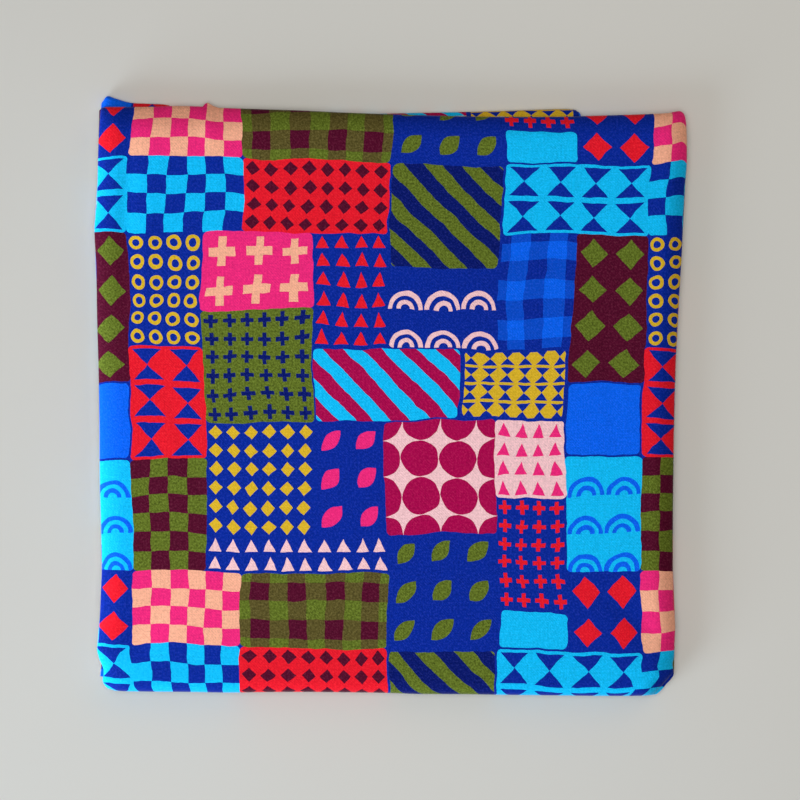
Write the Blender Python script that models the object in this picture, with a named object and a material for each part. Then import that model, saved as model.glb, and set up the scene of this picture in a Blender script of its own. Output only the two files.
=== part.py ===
"""A length of printed cotton, folded into a flat packet of six band layers.

The cloth is first folded along its length into a band of four plies, then the band
is doubled and laid back and forth in three. One solid strip stands for the band, so
its section is the back-and-forth run of the six layers, a little apart.

Metres, +Z up. The packet lies on its lowest layer with the origin under its middle,
+Y towards the back folds and +X to the right.
"""
import math
from bisect import bisect_right
from collections import namedtuple

import bmesh
import bpy
from mathutils import Matrix, Vector

MM = 0.001

# The band: four plies of cotton and the air that lies between them.
BAND_WIDTH = 285.0 * MM
LAYER_THICK = 2.0 * MM
LAYER_GAP = 0.6 * MM
LAYER_PITCH = LAYER_THICK + LAYER_GAP
EDGE_ROUND = 0.8 * MM
EDGE_SEGMENTS = 2

# Where the folds lie along Y before the packet is pulled to its uneven outline.
BACK, FRONT = 1.0, -1.0
BACK_EDGE_Y = 138.0 * MM
FRONT_EDGE_Y = -142.5 * MM
RAW_END_Y = -137.0 * MM
FOLD_PRESS = 0.7          # a pressed fold is shallower than half a circle

# Each fold joins two layers, counted from the lowest, in the order the band runs.
Fold = namedtuple("Fold", "side first second")
FOLDS = (
    Fold(BACK, 2, 3),
    Fold(FRONT, 3, 6),
    Fold(BACK, 6, 5),
    Fold(FRONT, 5, 4),
    Fold(BACK, 4, 1),
)
UPPER_AT_BACK = 5         # layers from this one up end in the upper back fold
UPPER_AT_FRONT = 3        # layers from this one up turn at the front fold
LAYER_SIDE_SHIFT = {1: 0.7 * MM, 2: -0.9 * MM, 3: 0.5 * MM, 4: 0.9 * MM, 5: -0.7 * MM, 6: 0.0}

# The outline seen from above, in millimetres: how far each side stands out.
SideEdge = namedtuple("SideEdge", "y left right")
SIDE_EDGES = (
    SideEdge(150, -137.5, 139.0),
    SideEdge(134, -140.8, 141.8),
    SideEdge(114, -141.9, 142.7),
    SideEdge(95, -141.8, 141.3),
    SideEdge(66, -142.7, 140.1),
    SideEdge(37, -142.2, 138.4),
    SideEdge(0, -141.2, 136.9),
    SideEdge(-45, -140.8, 136.2),
    SideEdge(-79, -139.9, 136.0),
    SideEdge(-100, -140.6, 135.5),
    SideEdge(-120, -141.4, 136.0),
    SideEdge(-130, -139.6, 134.9),
    SideEdge(-140, -135.4, 130.8),
    SideEdge(-150, -130.0, 125.5),
)
# The two lowest layers are not drawn in at the front corners as those above them are.
LowerCorner = namedtuple("LowerCorner", "y left right")
LOWER_CORNERS = (
    LowerCorner(-60, 0.0, 0.0),
    LowerCorner(-105, -0.3, 0.4),
    LowerCorner(-122, -0.6, 1.6),
    LowerCorner(-140, -3.6, 2.4),
    LowerCorner(-150, -4.5, 3.0),
)
BackEdge = namedtuple("BackEdge", "x upper lower")
BACK_EDGES = (
    BackEdge(-146, 138.2, 140.2),
    BackEdge(-136, 139.6, 144.2),
    BackEdge(-126, 140.1, 142.4),
    BackEdge(-112, 140.3, 141.0),
    BackEdge(-89, 140.9, 137.8),
    BackEdge(-73, 138.9, 136.5),
    BackEdge(-42, 137.8, 135.6),
    BackEdge(-20, 136.6, 136.2),
    BackEdge(4, 135.5, 136.6),
    BackEdge(42, 135.2, 137.5),
    BackEdge(77, 135.3, 138.9),
    BackEdge(90, 135.4, 137.6),
    BackEdge(99, 135.6, 133.6),
    BackEdge(122, 136.5, 134.2),
    BackEdge(138, 136.6, 137.9),
    BackEdge(146, 134.5, 136.4),
)
FrontEdge = namedtuple("FrontEdge", "x y")
FRONT_EDGES = (
    FrontEdge(-146, -136.5),
    FrontEdge(-135, -141.1),
    FrontEdge(-112, -142.2),
    FrontEdge(-89, -141.3),
    FrontEdge(-65, -142.7),
    FrontEdge(-27, -142.2),
    FrontEdge(4, -141.8),
    FrontEdge(22, -143.3),
    FrontEdge(55, -144.2),
    FrontEdge(112, -144.2),
    FrontEdge(126, -142.9),
    FrontEdge(136, -137.5),
    FrontEdge(146, -131.0),
)
END_REACH = 70.0 * MM     # how far in from the front and back the outline pulls

# The packet is thinner towards its sides: how much, and over what distance.
SideDrop = namedtuple("SideDrop", "share reach")
LEFT_DROP = SideDrop(0.20, 13.0 * MM)
RIGHT_DROP = SideDrop(0.22, 15.0 * MM)
BACK_DROP = SideDrop(0.26, 26.0 * MM)
FRONT_DROP = SideDrop(0.18, 14.0 * MM)

# Soft troughs and swells of the whole stack, as shares of its height.
Swell = namedtuple("Swell", "x y along across turn share")
SWELLS = (
    Swell(-128, 88, 46, 5, 88, -0.050),
    Swell(-88, 132, 12, 4, 96, 0.035),
    Swell(-60, 40, 70, 34, 25, 0.025),
    Swell(66, 84, 60, 30, -30, -0.030),
    Swell(84, -52, 74, 36, 40, 0.028),
    Swell(-70, -86, 66, 30, -18, -0.026),
    Swell(8, -10, 60, 44, 70, 0.018),
    Swell(126, -116, 26, 9, -52, -0.060),
    Swell(-126, -122, 24, 8, 48, -0.060),
)

# Where the strip is cut into facets.
RUN_CUTS = (-134, -124, -108, -80, -40, 8, 56, 88, 110, 125)
ACROSS_CUTS = (-138, -130, -116, -89, -62, -22, 26, 72, 93, 105, 124, 136)
WIDE_TURN_FACETS = 8
TIGHT_TURN_FACETS = 6

CLOTH_BLUE = (0.0024, 0.0168, 0.2540, 1.0)


def curve_at(rows, column, place):
    """Read one column of an edge table at a place, on a smooth curve, in millimetres."""
    stops = [(row[0], getattr(row, column)) for row in rows]
    stops.sort()
    place = min(max(place, stops[0][0]), stops[-1][0])
    here = min(max(bisect_right([stop[0] for stop in stops], place) - 1, 0), len(stops) - 2)
    (x0, y0), (x1, y1) = stops[here], stops[here + 1]
    before = stops[max(here - 1, 0)]
    after = stops[min(here + 2, len(stops) - 1)]
    slope0 = (y1 - before[1]) / (x1 - before[0])
    slope1 = (after[1] - y0) / (after[0] - x0)
    span = x1 - x0
    t = (place - x0) / span
    rise = t * t * (3.0 - 2.0 * t)
    return (y0 + (y1 - y0) * rise + span * slope0 * t * (1.0 - t) ** 2
            - span * slope1 * t * t * (1.0 - t))


def ease(share):
    """Go from 0 to 1 without corners."""
    share = min(max(share, 0.0), 1.0)
    return share * share * (3.0 - 2.0 * share)


def layer_height(layer):
    """Give the height of a layer's middle above the surface it lies on."""
    return LAYER_THICK / 2 + (layer - 1) * LAYER_PITCH


def turn_radius(fold):
    """Give the radius of a fold's middle line."""
    return abs(fold.second - fold.first) * LAYER_PITCH / 2


def turn_centre(fold):
    """Give the Y of a fold's centre; nested folds share the centre of the outer one."""
    nests = max(turn_radius(other) for other in FOLDS if shares_centre(other, fold))
    edge = BACK_EDGE_Y if fold.side == BACK else FRONT_EDGE_Y
    return edge - fold.side * FOLD_PRESS * (nests + LAYER_THICK / 2)


def shares_centre(one, other):
    """Say whether two folds lie one inside the other."""
    return one.side == other.side and one.first + one.second == other.first + other.second


# One leg of the band's run: where its layers are, its length, its cuts and its placing.
Leg = namedtuple("Leg", "length cuts place layer_from layer_to")


def straight_leg(layer, y_from, y_to):
    """Make the leg of one flat layer."""
    heading = math.copysign(1.0, y_to - y_from)
    length = abs(y_to - y_from)
    cuts = sorted(heading * (cut * MM - y_from) for cut in RUN_CUTS)
    cuts = [cut for cut in cuts if 0.0 < cut < length]

    def place(along, off):
        return y_from + heading * along, layer_height(layer) + heading * off

    return Leg(length, cuts, place, layer, layer)


def turning_leg(fold):
    """Make the leg of one fold, half a flattened circle."""
    radius = turn_radius(fold)
    rising = math.copysign(1.0, fold.second - fold.first)
    middle = (layer_height(fold.first) + layer_height(fold.second)) / 2
    centre = turn_centre(fold)
    length = math.pi * radius
    facets = WIDE_TURN_FACETS if abs(fold.second - fold.first) > 1 else TIGHT_TURN_FACETS

    def place(along, off):
        angle = along / radius
        reach = radius - fold.side * rising * off
        y = centre + fold.side * FOLD_PRESS * reach * math.sin(angle)
        return y, middle - rising * reach * math.cos(angle)

    cuts = [length * step / facets for step in range(1, facets)]
    return Leg(length, cuts, place, fold.first, fold.second)


def band_course():
    """List the legs of the band from the raw end in layer two to the one in layer one."""
    legs = []
    y = RAW_END_Y
    for fold in FOLDS:
        legs.append(straight_leg(fold.first, y, turn_centre(fold)))
        legs.append(turning_leg(fold))
        y = turn_centre(fold)
    legs.append(straight_leg(FOLDS[-1].second, y, RAW_END_Y))
    return legs


def pull_to_outline(x, y, at_back, at_front):
    """Move a point from the even packet to the outline of its own layers."""
    left = curve_at(SIDE_EDGES, "left", y / MM)
    right = curve_at(SIDE_EDGES, "right", y / MM)
    if not at_front:
        left += curve_at(LOWER_CORNERS, "left", y / MM)
        right += curve_at(LOWER_CORNERS, "right", y / MM)
    share = x / BAND_WIDTH + 0.5
    x = (left + share * (right - left)) * MM

    back = curve_at(BACK_EDGES, "upper" if at_back else "lower", x / MM) * MM
    front = curve_at(FRONT_EDGES, "y", x / MM) * MM
    y += (back - BACK_EDGE_Y) * ease((y - BACK_EDGE_Y) / END_REACH + 1.0)
    y += (front - FRONT_EDGE_Y) * ease((FRONT_EDGE_Y - y) / END_REACH + 1.0)
    return x, y


def drop_share(drop, inside):
    """Say how much of its height the stack keeps at a distance inside one side."""
    return 1.0 - drop.share * (1.0 - ease(inside / drop.reach)) ** 1.5


def height_share(x, y):
    """Say how much of its full height the stack has at a place."""
    share = drop_share(LEFT_DROP, x - curve_at(SIDE_EDGES, "left", y / MM) * MM)
    share *= drop_share(RIGHT_DROP, curve_at(SIDE_EDGES, "right", y / MM) * MM - x)
    share *= drop_share(BACK_DROP, curve_at(BACK_EDGES, "upper", x / MM) * MM - y)
    share *= drop_share(FRONT_DROP, y - curve_at(FRONT_EDGES, "y", x / MM) * MM)
    for swell in SWELLS:
        turn = math.radians(swell.turn)
        dx = x / MM - swell.x
        dy = y / MM - swell.y
        along = (dx * math.cos(turn) + dy * math.sin(turn)) / swell.along
        across = (dy * math.cos(turn) - dx * math.sin(turn)) / swell.across
        share *= 1.0 + swell.share * math.exp(-along * along - across * across)
    return share


def flat_strip(length, cuts):
    """Make the band as it would lie unfolded: a slab with round long edges, cut in facets."""
    strip = bmesh.new()
    bmesh.ops.create_cube(strip, size=1.0)
    bmesh.ops.transform(strip, matrix=Matrix.Diagonal((BAND_WIDTH, length, LAYER_THICK, 1.0)),
                        verts=strip.verts)
    bmesh.ops.translate(strip, vec=(0.0, length / 2, 0.0), verts=strip.verts)
    long_edges = [edge for edge in strip.edges
                  if abs(edge.verts[0].co.y - edge.verts[1].co.y) > length / 2]
    bmesh.ops.bevel(strip, geom=long_edges, offset=EDGE_ROUND, segments=EDGE_SEGMENTS,
                    profile=0.5, affect="EDGES", clamp_overlap=True)
    planes = [((0.0, cut, 0.0), (0.0, 1.0, 0.0)) for cut in cuts]
    planes += [((cut * MM, 0.0, 0.0), (1.0, 0.0, 0.0)) for cut in ACROSS_CUTS]
    for point, normal in planes:
        geom = strip.verts[:] + strip.edges[:] + strip.faces[:]
        bmesh.ops.bisect_plane(strip, geom=geom, dist=0.01 * MM, plane_co=point, plane_no=normal)
    return strip


def fold_strip(strip, legs, starts):
    """Fold the flat band along its course and settle it to the packet's uneven shape."""
    for vert in strip.verts:
        x, along, off = vert.co
        number = min(max(bisect_right(starts, along) - 1, 0), len(legs) - 1)
        leg = legs[number]
        done = along - starts[number]
        y, z = leg.place(done, off)
        turned = ease(done / leg.length)
        shift_from = LAYER_SIDE_SHIFT[leg.layer_from]
        shift_to = LAYER_SIDE_SHIFT[leg.layer_to]
        x += shift_from + (shift_to - shift_from) * turned
        layer = max(leg.layer_from, leg.layer_to)
        x, y = pull_to_outline(x, y, layer >= UPPER_AT_BACK, layer >= UPPER_AT_FRONT)
        vert.co = (x, y, z * height_share(x, y))


def stand_over_origin(strip):
    """Bring the middle of the packet's outline over the origin."""
    lows = [min(vert.co[axis] for vert in strip.verts) for axis in range(2)]
    highs = [max(vert.co[axis] for vert in strip.verts) for axis in range(2)]
    middle = Vector((sum(pair) / 2 for pair in zip(lows, highs))).to_3d()
    bmesh.ops.translate(strip, vec=-middle, verts=strip.verts)
    return middle


def cloth_material():
    """Make the matt cotton finish."""
    material = bpy.data.materials.new("printed_cotton")
    material.use_nodes = True
    shader = material.node_tree.nodes["Principled BSDF"]
    shader.inputs["Base Color"].default_value = CLOTH_BLUE
    shader.inputs["Roughness"].default_value = 0.9
    shader.inputs["Metallic"].default_value = 0.0
    return material


def clear_scene():
    """Remove what the scene holds."""
    for thing in list(bpy.data.objects):
        bpy.data.objects.remove(thing, do_unlink=True)


def build_folded_cloth(collection):
    """Make the folded packet as one closed solid."""
    legs = band_course()
    starts = [sum(leg.length for leg in legs[:number]) for number in range(len(legs))]
    length = starts[-1] + legs[-1].length
    cuts = starts[1:] + [start + cut for start, leg in zip(starts, legs) for cut in leg.cuts]
    strip = flat_strip(length, cuts)
    fold_strip(strip, legs, starts)
    middle = stand_over_origin(strip)
    bmesh.ops.triangulate(strip, faces=strip.faces[:])

    mesh = bpy.data.meshes.new("folded_cloth")
    strip.to_mesh(mesh)
    strip.free()
    mesh.materials.append(cloth_material())
    cloth = bpy.data.objects.new("folded_cloth", mesh)
    collection.objects.link(cloth)
    print("band length", round(length, 4), "m, moved by", [round(v / MM, 3) for v in middle],
          "mm,", len(mesh.polygons), "triangles")
    return cloth


def main():
    """Build the part."""
    clear_scene()
    collection = bpy.data.collections.new("folded_cotton_fabric")
    bpy.context.scene.collection.children.link(collection)
    build_folded_cloth(collection)


main()
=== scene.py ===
"""Folded cotton fabric with a patch print: the cloth itself, its finish, light and camera.

The solid packet of the frame is replaced by the real cloth, one thin sheet. It is folded
selvedge to selvedge and once more into a band of four plies, and the band is laid up in
six layers. Sizes are in metres, or in millimetres where a table says so.
"""
import math
from collections import namedtuple

import bmesh
import bpy
import numpy as np
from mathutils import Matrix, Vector


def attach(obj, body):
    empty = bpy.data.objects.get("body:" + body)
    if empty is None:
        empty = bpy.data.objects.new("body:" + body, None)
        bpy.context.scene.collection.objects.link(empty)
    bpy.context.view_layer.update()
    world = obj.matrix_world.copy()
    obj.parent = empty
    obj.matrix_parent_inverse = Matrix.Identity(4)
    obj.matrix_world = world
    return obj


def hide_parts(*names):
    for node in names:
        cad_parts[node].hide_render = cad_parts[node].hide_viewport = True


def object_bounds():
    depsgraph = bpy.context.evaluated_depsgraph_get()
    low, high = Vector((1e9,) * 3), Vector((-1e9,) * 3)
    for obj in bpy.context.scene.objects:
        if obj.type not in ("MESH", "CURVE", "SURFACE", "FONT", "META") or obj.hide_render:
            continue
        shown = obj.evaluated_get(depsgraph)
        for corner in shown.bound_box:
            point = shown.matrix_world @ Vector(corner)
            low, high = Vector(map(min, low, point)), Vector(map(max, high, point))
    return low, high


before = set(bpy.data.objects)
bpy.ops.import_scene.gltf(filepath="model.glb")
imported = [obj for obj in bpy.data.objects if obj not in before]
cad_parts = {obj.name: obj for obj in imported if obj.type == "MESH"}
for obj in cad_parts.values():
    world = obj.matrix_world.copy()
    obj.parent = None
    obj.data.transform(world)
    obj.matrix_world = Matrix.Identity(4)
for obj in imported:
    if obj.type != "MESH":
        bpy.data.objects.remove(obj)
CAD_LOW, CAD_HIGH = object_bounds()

MM = 0.001

# The cloth and how its four plies lie in the band; its selvedges lie just inside a fold.
CLOTH_THICK = 0.38 * MM
PLY_PITCH = 0.5 * MM
PLY_MIDDLE = 2.5
FOLD_TUCK = 0.35 * MM     # how far the hidden plies lie back inside the band's folds
LOW_SELVEDGE_INSET = 0.9 * MM
HIGH_SELVEDGE_INSET = 0.4 * MM
SELVEDGE_WIDTH = 6.0 * MM

# The band's layers and folds, as the packet was laid up. Plies and layers count from below.
BAND_WIDTH = 285.0 * MM
LAYER_THICK = 2.0 * MM
LAYER_PITCH = 2.6 * MM
LEFT, RIGHT, BACK, FRONT = -1.0, 1.0, 1.0, -1.0
BACK_EDGE_Y = 138.0 * MM
FRONT_EDGE_Y = -142.5 * MM
RAW_END_Y = -137.0 * MM
FOLD_PRESS = 0.7          # a pressed fold is shallower than half a circle
UPPER_AT_BACK = 5         # layers from this one up end in the upper back fold
UPPER_AT_FRONT = 3        # layers from this one up turn at the front fold
PACKET_MIDDLE = (-0.046 * MM, -0.076 * MM)
TOP_LAYER, TOP_PLY = 6, 4
BOTTOM_LAYER, BOTTOM_PLY = 1, 1
LAYER_SIDE_SHIFT = {1: 0.5, 2: -0.7, 3: 0.3, 4: 0.4, 5: -0.3, 6: 0.0}    # in millimetres

# The outline seen from above, in millimetres.
SideEdge = namedtuple("SideEdge", "y left right")
SIDE_EDGES = (
    SideEdge(-150, -133.0, 123.0),
    SideEdge(-143, -136.8, 127.9),
    SideEdge(-141, -138.2, 129.6),
    SideEdge(-139, -139.3, 131.4),
    SideEdge(-137, -139.6, 133.0),
    SideEdge(-134.5, -139.0, 135.4),
    SideEdge(-132.6, -139.1, 136.5),
    SideEdge(-130.6, -139.7, 136.3),
    SideEdge(-128, -140.9, 135.8),
    SideEdge(-125, -141.8, 136.6),
    SideEdge(-123, -142.3, 136.8),
    SideEdge(-120.5, -141.8, 136.8),
    SideEdge(-116, -141.4, 137.0),
    SideEdge(-110, -141.1, 137.2),
    SideEdge(-100, -140.6, 136.4),
    SideEdge(-79, -139.9, 136.0),
    SideEdge(-45, -140.8, 136.2),
    SideEdge(0, -141.2, 136.9),
    SideEdge(37, -142.2, 138.4),
    SideEdge(64, -142.7, 140.1),
    SideEdge(76, -143.4, 140.7),
    SideEdge(83, -143.4, 141.0),
    SideEdge(92, -142.4, 141.4),
    SideEdge(103, -142.0, 142.0),
    SideEdge(114, -141.8, 142.8),
    SideEdge(130, -141.1, 142.7),
    SideEdge(140, -140.6, 142.0),
    SideEdge(150, -138.8, 140.4),
)
# The lower layers' corners lie a little apart from those of the upper ones.
LowerCorner = namedtuple("LowerCorner", "y left right")
LOWER_CORNERS = (
    LowerCorner(-150, -1.2, -0.8),
    LowerCorner(-141, -1.2, -0.8),
    LowerCorner(-134, -1.3, -0.6),
    LowerCorner(-130, -0.5, -0.2),
    LowerCorner(-126, 0.0, 0.0),
    LowerCorner(-105, -0.1, 0.2),
    LowerCorner(-60, 0.0, 0.0),
    LowerCorner(90, 0.0, 0.0),
    LowerCorner(128, -0.4, -0.3),
    LowerCorner(139, -0.7, -0.6),
)
BackEdge = namedtuple("BackEdge", "x upper lower")
BACK_EDGES = (
    BackEdge(-146, 139.3, 141.6),
    BackEdge(-141, 140.0, 143.0),
    BackEdge(-138.5, 140.2, 146.0),
    BackEdge(-134.5, 140.2, 144.9),
    BackEdge(-127, 140.2, 142.8),
    BackEdge(-118, 140.3, 142.3),
    BackEdge(-109, 140.6, 141.7),
    BackEdge(-103, 140.8, 139.2),
    BackEdge(-95, 140.6, 138.2),
    BackEdge(-84, 139.9, 137.6),
    BackEdge(-66, 139.2, 136.9),
    BackEdge(-42, 138.3, 136.6),
    BackEdge(-24, 137.4, 137.0),
    BackEdge(4, 136.4, 137.6),
    BackEdge(24, 135.8, 138.0),
    BackEdge(42, 135.4, 138.4),
    BackEdge(62, 135.2, 139.0),
    BackEdge(80, 135.3, 139.6),
    BackEdge(86.4, 135.4, 139.6),
    BackEdge(89.4, 135.5, 139.1),
    BackEdge(91.2, 135.6, 138.0),
    BackEdge(91.7, 135.6, 137.4),
    BackEdge(92.0, 135.6, 136.2),
    BackEdge(92.6, 135.6, 134.6),
    BackEdge(94.1, 135.7, 133.9),
    BackEdge(97.4, 135.8, 133.8),
    BackEdge(108, 136.1, 133.8),
    BackEdge(126, 136.7, 134.2),
    BackEdge(134, 137.2, 135.0),
    BackEdge(139.5, 138.2, 135.8),
    BackEdge(141.3, 137.4, 135.2),
    BackEdge(142.4, 136.0, 134.0),
    BackEdge(146, 133.0, 131.5),
)
FrontEdge = namedtuple("FrontEdge", "x y")
FRONT_EDGES = (
    FrontEdge(-146, -141.4),
    FrontEdge(-137, -141.8),
    FrontEdge(-133, -142.6),
    FrontEdge(-121, -142.9),
    FrontEdge(-97, -143.1),
    FrontEdge(-80, -143.4),
    FrontEdge(-63, -143.2),
    FrontEdge(-42, -143.1),
    FrontEdge(-20, -143.3),
    FrontEdge(-1, -143.6),
    FrontEdge(12, -144.1),
    FrontEdge(33, -144.2),
    FrontEdge(55, -144.5),
    FrontEdge(80, -144.8),
    FrontEdge(100, -145.0),
    FrontEdge(120, -145.0),
    FrontEdge(128, -144.8),
    FrontEdge(146, -144.4),
)
# A short kink stands out of the upper layers' back edge: its place, its two slopes, how
# far it stands out and how far in it is felt.
Nick = namedtuple("Nick", "x left right rise reach")
NICK = Nick(-89.5 * MM, 2.4 * MM, 4.4 * MM, 2.3 * MM, 9.0 * MM)

# How far in the back and front edges pull, and where the corners start and how far they pull.
END_REACH = 70.0 * MM
CORNERS_FROM, CORNERS_TO = -104.0 * MM, 118.0 * MM
CORNER_REACH = 46.0 * MM

# The packet thins towards its sides, and swells and dips a little all over. A swell's
# place and lengths are in millimetres and its turn in degrees, as a crease's are.
SideDrop = namedtuple("SideDrop", "share reach")
LEFT_DROP = SideDrop(0.30, 12.0 * MM)
RIGHT_DROP = SideDrop(0.42, 11.0 * MM)
BACK_DROP = SideDrop(0.40, 12.0 * MM)
FRONT_DROP = SideDrop(0.26, 8.0 * MM)
Swell = namedtuple("Swell", "x y along across turn share")
SWELLS = (
    Swell(-98, 142, 44, 11, 0, -0.240),
    Swell(-128, 88, 46, 5, 88, -0.050),
    Swell(-88, 132, 12, 4, 96, 0.035),
    Swell(-60, 40, 70, 34, 25, 0.025),
    Swell(66, 84, 60, 30, -30, -0.030),
    Swell(84, -52, 74, 36, 40, 0.028),
    Swell(-70, -86, 66, 30, -18, -0.026),
    Swell(8, -10, 60, 44, 70, 0.018),
    Swell(126, -116, 26, 9, -52, -0.060),
    Swell(-126, -122, 24, 8, 48, -0.060),
)

# Soft creases of the top layers: where, how long and wide, which way, and their rise in
# millimetres.
Crease = namedtuple("Crease", "x y along across turn rise")
CREASES = (
    Crease(-118, 70, 34, 2.6, 84, 0.22),
    Crease(-104, 104, 26, 2.2, 12, -0.16),
    Crease(-52, 96, 38, 2.8, -8, 0.14),
    Crease(38, 112, 44, 2.4, 4, -0.20),
    Crease(118, 92, 30, 2.4, 78, 0.18),
    Crease(104, 20, 42, 3.0, 96, -0.16),
    Crease(-22, 8, 60, 3.4, 88, 0.14),
    Crease(-96, -34, 44, 2.8, -72, -0.18),
    Crease(52, -66, 48, 3.2, 20, 0.16),
    Crease(-58, -112, 40, 2.6, 10, 0.18),
    Crease(112, -104, 34, 2.4, -34, -0.22),
    Crease(20, -124, 36, 2.2, -6, -0.14),
)

# How each end of a ply wanders along the band: its mean, swing and wave in millimetres, and
# where in the wave it starts.
PlyEnd = namedtuple("PlyEnd", "lean sway wave phase")
PLY_ENDS = (
    PlyEnd(0.2, 0.7, 61.0, 0.4),
    PlyEnd(0.0, 0.0, 50.0, 0.0),
    PlyEnd(0.0, 0.0, 50.0, 0.0),
    PlyEnd(-0.9, 0.5, 43.0, 1.9),
    PlyEnd(0.1, 0.6, 37.0, 2.6),
)

# How finely the cloth is cut. The top ply shows most: it has cells all over, and a few
# cuts more for the kink in the upper back edge and the round end of the lower one. The plies
# under it are cut only where the outline bends, so that they follow it too.
TOP_PLY_CELLS, TOP_LAYER_CELLS, HIDDEN_LAYER_CELLS = 110, 120, 13
TOP_PLY_CUTS = (-93.3, -92.2, -91.0, -89.7, -88.3, 88.7, 91.1, 91.3)
HIDDEN_PLY_CUTS = (-140, -137.5, -135, -132, -128.5, -118, -109, -102, -94, -84.5, -66, -42,
                   -12, 6, 24, 45, 60, 80, 87.4, 88.7, 90.5, 91.3, 93.5, 110, 126, 134, 139)
WIDE_PLY_TURN_CELLS, TIGHT_PLY_TURN_CELLS = 8, 6
WIDE_LAYER_TURN_CELLS, TIGHT_LAYER_TURN_CELLS = 10, 6
END_CROWDING = 0.72
SHARP_FROM = math.radians(60)

# Where the cloth's faces lie on its map for painting, as the low and the high corner of a
# box. What shows from above has the most room.
MAP_TOP = (0.004, 0.004, 0.660, 0.660)
MAP_UNDERSIDE = (0.004, 0.672, 0.328, 0.996)
MAP_REST = (0.672, 0.004, 0.996, 0.660)
MAP_WRONG_SIDE = (0.340, 0.672, 0.996, 0.996)

# How bare of print the cloth is: not on its right side, and not wholly on its wrong side,
# where the print shows through as a ghost.
BARE_RIGHT_SIDE, BARE_WRONG_SIDE, BARE_SELVEDGE, BARE_RAW_EDGE = 0.0, 0.66, 0.93, 0.55


def srgb(red, green, blue):
    """Turn a screen colour of 0 to 255 into the linear colour that a shader takes."""
    parts = [part / 255 for part in (red, green, blue)]
    linear = [part / 12.92 if part <= 0.04045 else ((part + 0.055) / 1.055) ** 2.4
              for part in parts]
    return (*linear, 1.0)


INKS = {
    "cobalt": srgb(0, 36, 142),
    "navy": srgb(0, 18, 98),
    "royal": srgb(0, 92, 226),
    "turquoise": srgb(6, 178, 232),
    "olive": srgb(90, 104, 30),
    "red": srgb(222, 20, 38),
    "hot_pink": srgb(228, 36, 114),
    "pale_pink": srgb(234, 186, 188),
    "peach": srgb(236, 166, 136),
    "yellow": srgb(208, 168, 36),
    "wine": srgb(78, 4, 36),
    "magenta": srgb(162, 0, 70),
}
BARE_COTTON = srgb(226, 222, 210)

# The cotton's yarns, fuzz and twill: how fine each is in cells a millimetre, how much it
# shades the colour and how high it stands. Dark inks look more speckled, and olive most.
YARN_ACROSS, YARN_ALONG = 1.6, 0.12
FUZZ_ROUGHNESS = 0.7
YARN_SHADE, TWILL_SHADE, FUZZ_SHADE = 0.30, 0.07, 0.8
DARK_UNDER, DARK_SPECKLE = 0.45, 3.0
OLIVE_UNDER, OLIVE_SPECKLE = 0.1, 30.0
UNDYED_SHARE, UNDYED_ON_TWILL = 0.08, 0.05
YARN_RISE, TWILL_RISE, FUZZ_RISE = 0.6, 0.25, 0.8
BUMP_STRENGTH, BUMP_DEPTH = 0.35, 0.12 * MM
ROUGHNESS, ROUGHNESS_SWING = 0.84, 0.2
SPECULAR, SHEEN, SHEEN_ROUGHNESS = 0.06, 0.14, 0.3

# The twill's slanting lines: their pitch in millimetres, how they bend, and how their
# clearness changes over the cloth.
TWILL_PITCH = 0.95
TWILL_BEND, TWILL_BEND_CELLS = 9.0, 0.35
TWILL_CLEAR, TWILL_CLEAR_CELLS = 3.4, 0.12
TWILL_FAINTEST = 0.15

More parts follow.
